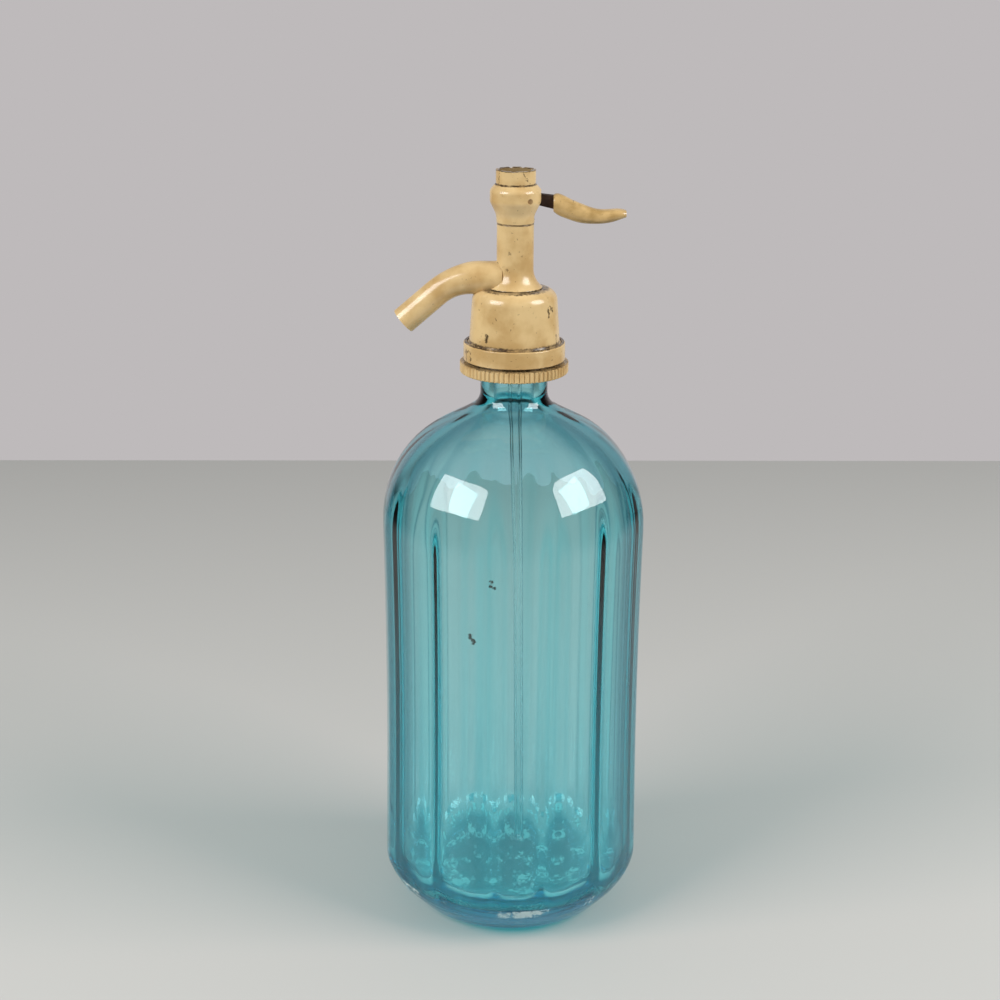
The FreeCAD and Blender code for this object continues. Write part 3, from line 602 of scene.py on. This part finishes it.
@dataclass
class GlassBottle:
    """Thick bottle with twelve drawn-in panels, and the dip tube inside it. Sizes in millimetres."""

    body_r: float = 53.9
    body_h: float = 196.0
    waist: float = 1.55
    waist_round: float = 3200.0
    panels: int = 12
    panel_turn: float = 3.7
    panel_depth: float = 0.9
    panel_top_depth: float = 0.4
    panel_round: float = 100.0
    panel_reach: float = 60.0
    crease_soft: float = 0.16
    ridge: float = 1.7
    ridge_half: float = 5.6
    ridge_fade_z: float = 194.0
    ridge_fade_h: float = 30.0
    heel_foot_r: float = 38.0
    heel_foot_round: float = 15.7
    heel_h: float = 17.5
    heel_side_round: float = 23.9
    slope: float = 27.7
    shoulder_round: float = 47.0
    shoulder_round_in: float = 40.0
    neck_r: float = 13.3
    neck_foot_round: float = 7.0
    neck_round_in: float = 9.0
    cheek: float = 3.0
    cheek_round: float = 4.0
    bead_r: float = 15.0
    bead_rise: float = 1.5
    bead_round: float = 0.6
    mouth_z: float = 243.015
    mouth_round: float = 1.2
    bead_z: float = 236.815
    wall: float = 5.6
    floor_z: float = 15.0
    floor_round: float = 13.0
    bore_r: float = 8.0
    columns_per_panel: int = 28
    arc_steps: int = 11
    longest_step: float = 3.6

    @property
    def side_z(self) -> float:
        """Gives the height of the waist's middle.

        Returns:
            The height in millimetres.
        """
        return (self.heel_h + self.body_h) / 2

    @property
    def slope_tan(self) -> float:
        """Gives the shoulder's rise for each millimetre inwards.

        Returns:
            The tangent of its slope.
        """
        return math.tan(math.radians(self.slope))

    @property
    def panel_middles(self) -> np.ndarray:
        """Places the panels' middles evenly round the bottle.

        Returns:
            Angles in radians from the -Y side.
        """
        return math.radians(self.panel_turn) + CYCLE / self.panels * np.arange(self.panels)

    def outer(self) -> np.ndarray:
        """Draws the round outline outside, from the base's centre to the mouth.

        Returns:
            Points (r, z).
        """
        foot_z = self.body_h + (self.body_r - self.neck_r) * self.slope_tan
        return rounded_outline([
            (0, 0, 0),
            (self.heel_foot_r, 0, self.heel_foot_round),
            (self.body_r, self.heel_h, self.heel_side_round),
            (self.body_r - self.waist, self.side_z, self.waist_round),
            (self.body_r, self.body_h, self.shoulder_round),
            (self.neck_r, foot_z, self.neck_foot_round),
            (self.neck_r, self.bead_z, 0),
            (self.bead_r, self.bead_z + self.bead_rise, self.bead_round),
            (self.bead_r, self.mouth_z, self.mouth_round),
            (self.bore_r, self.mouth_z, 0),
        ], self.arc_steps, self.longest_step)

    def inner(self) -> np.ndarray:
        """Draws the outline inside, from the mouth to the floor's centre.

        Returns:
            Points (r, z).
        """
        r = self.body_r - self.wall
        lift = self.wall * (self.slope_tan - 1 / math.cos(math.radians(self.slope)))
        throat_z = self.body_h + lift + (r - self.bore_r) * self.slope_tan
        return rounded_outline([
            (self.bore_r, self.mouth_z, 0),
            (self.bore_r, throat_z, self.neck_round_in),
            (r, self.body_h + lift, self.shoulder_round_in),
            (r - self.waist, self.side_z, self.waist_round),
            (r, self.floor_z, self.floor_round),
            (0, self.floor_z, 0),
        ], self.arc_steps, self.longest_step)

    def panel_middle(self, z: np.ndarray) -> np.ndarray:
        """Gives the distance from the axis to a panel's middle.

        Args:
            z: heights.

        Returns:
            The distance at each height.
        """
        middle = self.body_r - self.panel_depth
        cheek_r = self.neck_r + self.cheek
        corner_z = self.body_h + self.panel_depth * self.slope_tan - self.panel_top_depth
        outline = rounded_outline([
            (middle, -1, 0),
            (middle - self.waist, self.side_z, self.waist_round),
            (middle, corner_z, self.shoulder_round),
            (cheek_r, corner_z + (middle - cheek_r) * self.slope_tan, self.cheek_round),
            (cheek_r, self.mouth_z + 1, 0),
        ], self.arc_steps, self.longest_step)
        return np.interp(z, outline[:, 1], outline[:, 0])

    def azimuths(self) -> np.ndarray:
        """Places the columns, closer together near the creases.

        Within a panel the angle is 15 degrees times (u + sin(pi u / 2)) / 2, for u from -1 to 1.

        Returns:
            Angles in radians from the -Y side.
        """
        u = np.linspace(-1, 1, self.columns_per_panel, endpoint=False)
        inside = math.pi / self.panels * (0.5 * u + 0.5 * np.sin(math.pi * u / 2))
        return (self.panel_middles[:, None] + inside[None, :]).reshape(-1)

    def outer_radius(self, outline: np.ndarray, azimuth: np.ndarray) -> np.ndarray:
        """Gives the radius of the panelled skin.

        A panel is part of a circle about an axis moved back by s, so that at the angle a from its middle
        r = -s cos a + sqrt(m^2 - s^2 sin^2 a), with m the circle's radius. The skin is the soft minimum
        of the round outline and of all panels.

        Args:
            outline: points (r, z) of the round outline.
            azimuth: angles of the columns.

        Returns:
            The radius at each row and column.
        """
        shift = self.panel_round - (self.body_r - self.panel_depth)
        middle = self.panel_middle(outline[:, 1])[:, None] + shift
        best = np.repeat(outline[:, :1], len(azimuth), 1)
        total = np.ones_like(best)
        for turn in self.panel_middles:
            off = np.arctan2(np.sin(azimuth - turn), np.cos(azimuth - turn))[None, :]
            near = np.abs(off) < math.radians(self.panel_reach)
            root = np.sqrt(np.maximum(middle**2 - (shift * np.sin(off)) ** 2, 0))
            r = -shift * np.cos(off) + root
            total += np.where(near, np.exp(np.clip((best - r) / self.crease_soft, -60, 12)), 0)
        return best - self.crease_soft * np.log(total)

    def inner_radius(self, outline: np.ndarray, azimuth: np.ndarray) -> np.ndarray:
        """Gives the radius of the inside, where glass has gathered in a low ridge behind each crease.

        A ridge lowers the radius by a bell curve of the angle from the crease, and dies out in the shoulder.

        Args:
            outline: points (r, z) of the inner outline.
            azimuth: angles of the columns.

        Returns:
            The radius at each row and column.
        """
        pitch = CYCLE / self.panels
        off = (azimuth - math.radians(self.panel_turn)) % pitch - pitch / 2
        bell = np.exp(-((off / math.radians(self.ridge_half)) ** 2))
        fade = np.clip((self.ridge_fade_z - outline[:, 1]) / self.ridge_fade_h, 0, 1)
        share = self.ridge / (self.body_r - self.wall) * (fade * fade * (3 - 2 * fade))
        return outline[:, :1] * (1 - share[:, None] * bell[None, :])

    def build(self, glass: bpy.types.Material, tube_glass: bpy.types.Material) -> None:
        """Builds the bottle as one closed wall in place of the CAD's, and dresses the dip tube.

        Args:
            glass: the bottle's material.
            tube_glass: the dip tube's material.
        """
        outer, inner = self.outer(), self.inner()
        azimuth = self.azimuths()
        radius = self.outer_radius(outer, azimuth)
        r = np.vstack((radius, self.inner_radius(inner[1:], azimuth))) * MM
        z = np.repeat(np.concatenate((outer[:, 1], inner[1:, 1]))[:, None], len(azimuth), 1) * MM
        points = np.stack((r * np.sin(azimuth), -r * np.cos(azimuth), z), -1)
        bottle = grid_piece("panelled_bottle", points)
        weld(bottle)
        bottle.data.materials.append(glass)
        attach(bottle, "siphon")
        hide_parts("glass_bottle")
        LOG.info("bottle: %d faces", len(bottle.data.polygons))
        dress(tube_glass, "dip_tube")


@dataclass
class ValveSpring:
    """Compression spring round the valve rod, held at its top by the guide bush. Sizes in millimetres."""

    coil_r: float = 2.55
    wire_r: float = 0.35
    turns: float = 4.5
    foot_z: float = 275.815
    rise: float = 5.2
    seat_z: float = 275.415
    bush_z: float = 281.415
    steps: int = 240
    around: int = 18

    def build(self, steel: bpy.types.Material) -> None:
        """Winds the wire as a tube round a helix.

        The helix turns at a steady rate and rises evenly. At each place on it a circle of the wire's
        radius stands square to the wire, and shrinks to a point at both ends.

        Args:
            steel: the wire's material.
        """
        share = np.concatenate(([0.0], np.linspace(0, 1, self.steps), [1.0]))
        turn = CYCLE * self.turns * share
        out = np.stack((np.cos(turn), np.sin(turn), np.zeros_like(turn)), 1)
        middle = self.coil_r * out
        middle[:, 2] = self.foot_z + self.rise * share
        slope = self.rise / (CYCLE * self.turns * self.coil_r)
        along = np.stack((-np.sin(turn), np.cos(turn), np.full_like(turn, slope)), 1) / math.hypot(1, slope)
        up = np.cross(along, out)
        radius = np.full(len(share), self.wire_r)
        radius[[0, -1]] = 0
        angle = np.linspace(0, CYCLE, self.around, endpoint=False)[None, :, None]
        ring = np.cos(angle) * out[:, None, :] + np.sin(angle) * up[:, None, :]
        points = (middle[:, None, :] + radius[:, None, None] * ring) * MM
        wire = grid_piece("valve_spring_wire", points)
        weld(wire)
        wire.data.materials.append(steel)
        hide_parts("valve_spring")
        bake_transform(wire)
        LOG.info("valve spring: %d faces", len(wire.data.polygons))


@dataclass(frozen=True)
class MouldedPiece:
    """A cream piece of the head, with its seams and blemishes in millimetres."""

    node: str
    seams: tuple[Seam, ...] = ()
    marks: tuple[Blemish, ...] = ()
    # radius inside which the colour is darkened as painted shade
    shaded_bore_r: float = 0.0


MOULDED_PIECES = (
    MouldedPiece("bell_cover", ((262.7, 0.5), (241.9, 0.9)), (
        Blemish((13.4, -10.6, 253.6), (12.6, -10.6, 256.6), 0.8),
        Blemish((14.6, -8.6, 255.4), (13.6, -9.6, 257.4), 0.5),
        Blemish((-10.8, -13.7, 245.0), (-10.7, -13.7, 245.9), 1.2),
        spot(-14.2, -8.2, 257.1, 0.55),
        spot(-7.2, -15.4, 253.3, 0.5),
        spot(1.4, -16.7, 255.6, 0.4),
        spot(7.7, -12.7, 260.6, 0.35),
        Blemish((16.2, -6.8, 242.3), (16.0, -7.0, 245.5), 0.5),
    )),
    MouldedPiece("stem_column", ((262.9, 0.5), (287.8, 0.25)), (
        Blemish((-6.9, -2.1, 273.0), (-2.0, -8.0, 270.1), 0.28, 0.85),
        Blemish((-2.0, -8.0, 270.1), (2.2, -8.2, 269.0), 0.25, 0.6),
        spot(-2.0, -6.9, 277.2, 0.8, 0.45),
        spot(2.6, -6.7, 276.4, 0.5, 0.35),
    )),
    MouldedPiece("lever_housing", ((288.2, 0.25), (303.0, 0.35))),
    MouldedPiece("top_collar", ((303.2, 0.4), (308.4, 0.3)), (
        Blemish((-6.1, -4.7, 308.9), (-6.6, -3.9, 303.4), 0.32),
        Blemish((2.6, -7.3, 308.9), (3.6, -6.8, 306.2), 0.3),
        Blemish((3.6, -6.8, 306.2), (5.6, -5.2, 303.6), 0.3),
        Blemish((-7.4, -1.5, 308.4), (-7.6, 1.0, 306.0), 0.4),
    ), shaded_bore_r=6.3),
    MouldedPiece("collar_ring", ((241.6, 0.3), (234.4, 0.6)), (
        Blemish((-18.9, -6.7, 239.4), (-18.5, -7.6, 235.4), 0.45),
        Blemish((-17.2, -10.2, 239.0), (-17.0, -10.5, 235.6), 0.5),
        Blemish((-19.2, -5.6, 238.0), (-17.8, -9.2, 239.6), 0.4),
    )),
    MouldedPiece("knurled_ring", ((234.2, 1.1),)),
    MouldedPiece("spout_tube", (), (
        Blemish((-17.0, -4.6, 268.3), (-14.6, -4.2, 270.2), 0.25, 0.5),
        Blemish((-14.4, -4.6, 268.5), (-11.5, -4.5, 267.5), 0.25, 0.55),
    )),
    MouldedPiece("spout_liner"),
)


@dataclass
class MouldedHead:
    """Cream pieces of the head, and the metal and rubber inside it."""

    pieces: tuple[MouldedPiece, ...] = MOULDED_PIECES
    brass: tuple[str, ...] = (
        "core_body", "valve_seat", "tube_holder", "seal_follower", "guide_bush", "washer_retainer",
        "split_collar_front", "split_collar_back")
    rubber: tuple[str, ...] = ("neck_gasket", "tube_gasket", "rod_seal", "valve_washer")

    def build(self) -> None:
        """Dresses each moulded piece with grime and painted shade in its own seams, then the pieces inside.
        """
        for piece in self.pieces:
            finish = AgedCream(
                name="aged_cream_" + piece.node, seams=piece.seams, marks=piece.marks, shaded_bore_r=piece.shaded_bore_r)
            dress(finish.build(), piece.node)
        steel = BareMetal(Metal.STEEL).build()
        ValveSpring().build(steel)
        dress(steel, "valve_rod")
        dress(BareMetal(Metal.BRASS).build(), *self.brass)
        dress(AgedCream(name="cream_stained_pin", pale="#B3946A", tan="#8E7350").build(), "lever_pin")
        dress(SealRubber().build(), *self.rubber)


@dataclass
class LeverSet:
    """Steel shank and its moulded grip."""

    pale: str = "#C9A972"
    tan: str = "#A98A55"
    marks: tuple[Blemish, ...] = (
        Blemish((21.5, 0.0, 306.2), (23.2, 0.0, 303.0), 0.6),
        # a dark line along the grip's lower edge
        Blemish((30.0, 0.0, 297.6), (49.0, 0.0, 296.0), 0.45, 0.6),
        Blemish((29.0, -1.5, 303.0), (35.0, -1.0, 300.6), 0.25, 0.55),
    )

    def build(self) -> None:
        """Dresses the shank in rust and the grip in worn cream."""
        dress(BareMetal(Metal.RUST).build(), "lever_shank")
        grip = AgedCream(
            name="aged_cream_grip", pale=self.pale, tan=self.tan, blotch_mm=5.0, marks=self.marks)
        dress(grip.build(), "lever_grip")


@dataclass(frozen=True)
class Softbox:
    """A lamp seen from the bottle: degrees from the camera's side towards +X, and degrees above the table."""

    name: str
    azimuth: float
    elevation: float


@dataclass
class Studio:
    """Pale table and room, two softboxes and the camera. Sizes in metres, angles in degrees."""

    table_half: float = 3.0
    table_back: float = 0.63
    table_skew: float = 0.063
    table_colour: str = "#C1C2BE"
    table_far_shade: str = "#303234"
    table_middle: Triple = (0, 0.22, 0)
    table_near: float = 0.48
    table_far: float = 0.95
    room_colour: str = "#BEBABB"
    fill: float = 0.55
    lamps: tuple[Softbox, ...] = (Softbox("softbox_left", -57.0, 31.0), Softbox("softbox_right", 70.0, 31.0))
    lamp_distance: float = 1.25
    lamp_aim: Triple = (0, 0, 0.2)
    lamp_width: float = 0.75
    lamp_height: float = 0.65
    lamp_power: float = 14.0
    camera_place: Triple = (-0.0052, -0.7096, 0.4090)
    camera_down: float = 18.2
    camera_roll: float = 0.4
    camera_lens: float = 66.6
    camera_sensor: float = 36.0

    def build_table(self) -> None:
        """Adds the plain table, with painted shade that darkens it far from the bottle except to the camera.
        """
        half, back, skew = self.table_half, self.table_back, self.table_skew
        corners = [(-half, -half, 0), (half, -half, 0), (half, back + skew, 0), (-half, back - skew, 0)]
        mesh = bpy.data.meshes.new("table")
        mesh.from_pydata(corners, [], [(0, 1, 2, 3)])
        table = bpy.data.objects.new("table", mesh)
        bpy.context.scene.collection.objects.link(table)
        material, tree = new_material("table")
        place = add_node(tree, "ShaderNodeTexCoord").outputs["Object"]
        # painted shade: away from the bottle the table darkens for every ray but the camera's, so glass and
        # gloss see a dim room
        away = add_node(tree, "ShaderNodeVectorMath", {"operation": "DISTANCE"}, {
            0: place, 1: self.table_middle})
        far = add_node(tree, "ShaderNodeMapRange", {"interpolation_type": "SMOOTHSTEP"}, {
            "Value": away.outputs["Value"], "From Min": self.table_near, "From Max": self.table_far,
            "To Max": 0.85})
        unseen = add_node(tree, "ShaderNodeMath", {"operation": "SUBTRACT"}, {
            0: 1.0, 1: add_node(tree, "ShaderNodeLightPath").outputs["Is Camera Ray"]})
        share = add_node(tree, "ShaderNodeMath", {"operation": "MULTIPLY"}, {
            0: far.outputs[0], 1: unseen.outputs[0]})
        tone = add_node(tree, "ShaderNodeMix", {"data_type": "RGBA"}, {
            0: share.outputs[0], 6: linear(self.table_colour), 7: linear(self.table_far_shade)})
        skin = add_node(tree, "ShaderNodeBsdfPrincipled", inputs={
            "Base Color": tone.outputs[2], "Roughness": 0.7})
        add_node(tree, "ShaderNodeOutputMaterial", inputs={"Surface": skin.outputs[0]})
        mesh.materials.append(material)

    def build_lamp(self, box: Softbox) -> None:
        """Adds a softbox that faces the bottle.

        Args:
            box: the lamp's name and direction.
        """
        data = bpy.data.lights.new(box.name, "AREA")
        data.shape = "RECTANGLE"
        data.size, data.size_y = self.lamp_width, self.lamp_height
        data.energy = self.lamp_power
        lamp = bpy.data.objects.new(box.name, data)
        a, e = math.radians(box.azimuth), math.radians(box.elevation)
        away = Vector((math.sin(a) * math.cos(e), -math.cos(a) * math.cos(e), math.sin(e)))
        lamp.location = away * self.lamp_distance + Vector(self.lamp_aim)
        lamp.rotation_euler = away.to_track_quat("Z", "Y").to_euler()
        bpy.context.scene.collection.objects.link(lamp)

    def build_room(self) -> None:
        """Makes the room pale to the camera, and dim in front of the bottle as the glass reflects it."""
        world = bpy.data.worlds.new("studio")
        world.use_nodes = True
        tree = world.node_tree
        tree.nodes.clear()
        facing = add_node(tree, "ShaderNodeSeparateXYZ", inputs={
            0: add_node(tree, "ShaderNodeTexCoord").outputs["Generated"]}).outputs["Y"]
        behind = add_node(tree, "ShaderNodeMapRange", {"interpolation_type": "SMOOTHSTEP"}, {
            "Value": facing, "From Min": 0.5, "From Max": 0.92, "To Min": 0.1, "To Max": 1.0})
        path = add_node(tree, "ShaderNodeLightPath")
        lit = add_node(tree, "ShaderNodeMix", inputs={
            0: path.outputs["Is Diffuse Ray"], 2: behind.outputs[0], 3: self.fill})
        level = add_node(tree, "ShaderNodeMix", inputs={
            0: path.outputs["Is Camera Ray"], 2: lit.outputs[0], 3: 1.0})
        sky = add_node(tree, "ShaderNodeBackground", inputs={
            "Color": linear(self.room_colour), "Strength": level.outputs[0]})
        add_node(tree, "ShaderNodeOutputWorld", inputs={"Surface": sky.outputs[0]})
        bpy.context.scene.world = world

    def build_camera(self) -> None:
        """Places the camera, looking along +Y and down, with a slight roll."""
        data = bpy.data.cameras.new("camera")
        data.lens = self.camera_lens
        data.sensor_width = self.camera_sensor
        camera = bpy.data.objects.new("camera", data)
        camera.location = self.camera_place
        tilt = Euler((math.radians(90 - self.camera_down), 0.0, 0.0)).to_matrix()
        camera.rotation_euler = (tilt @ Matrix.Rotation(math.radians(self.camera_roll), 3, "Z")).to_euler()
        bpy.context.scene.collection.objects.link(camera)
        bpy.context.scene.camera = camera

    def build(self) -> None:
        """Sets up table, light and camera."""
        self.build_table()
        for box in self.lamps:
            self.build_lamp(box)
        self.build_room()
        self.build_camera()
        bpy.context.scene.view_settings.view_transform = "Standard"
        LOG.info("studio: %d softboxes", len(self.lamps))


def main() -> None:
    """Builds each sub-assembly in order and reports it."""
    bottle_glass = BottleGlass(marks=GLASS_STONES)
    tube_glass = BottleGlass(name="clear_tube_glass", body="#DCEFEF", density=30.0)
    GlassBottle().build(bottle_glass.build(), tube_glass.build())
    MouldedHead().build()
    LeverSet().build()
    Studio().build()


if __name__ == "__main__":
    main()
